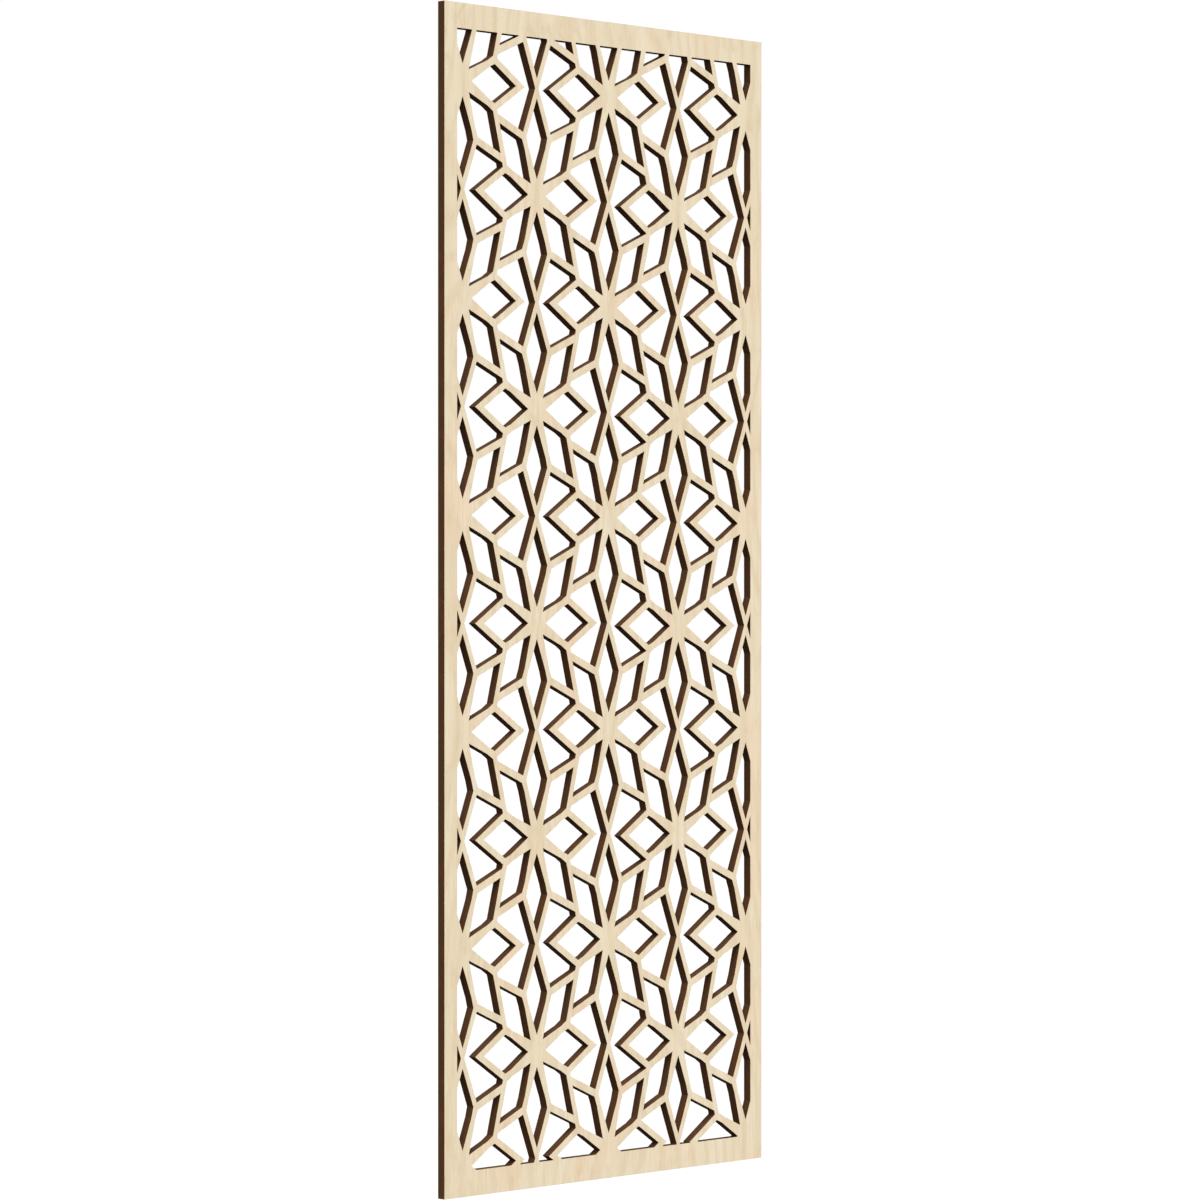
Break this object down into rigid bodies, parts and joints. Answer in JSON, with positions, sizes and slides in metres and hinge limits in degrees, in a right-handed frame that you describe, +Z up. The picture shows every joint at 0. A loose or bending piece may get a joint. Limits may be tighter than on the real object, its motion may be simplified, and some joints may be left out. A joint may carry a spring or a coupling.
{
  "type": "fretwork wall panel",
  "caption": "Flat plywood wall panel, cut right through with a lattice of rayed stars inside a plain border.",
  "frame": {"origin": "on the back face, in the middle of the top rail, where the panel is fixed to the wall", "axes": "+Z up along the panel's height, +Y out of the back face into the wall, +X to the right as seen from the front"},
  "size_m": [0.467, 0.0095, 1.203],
  "materials": {
    "birch_plywood": "smooth sanded pale veneer, with scorched dark brown cut edges"
  },
  "bodies": {
    "root": {"fretwork_panel": "birch_plywood"}
  },
  "joints": []
}
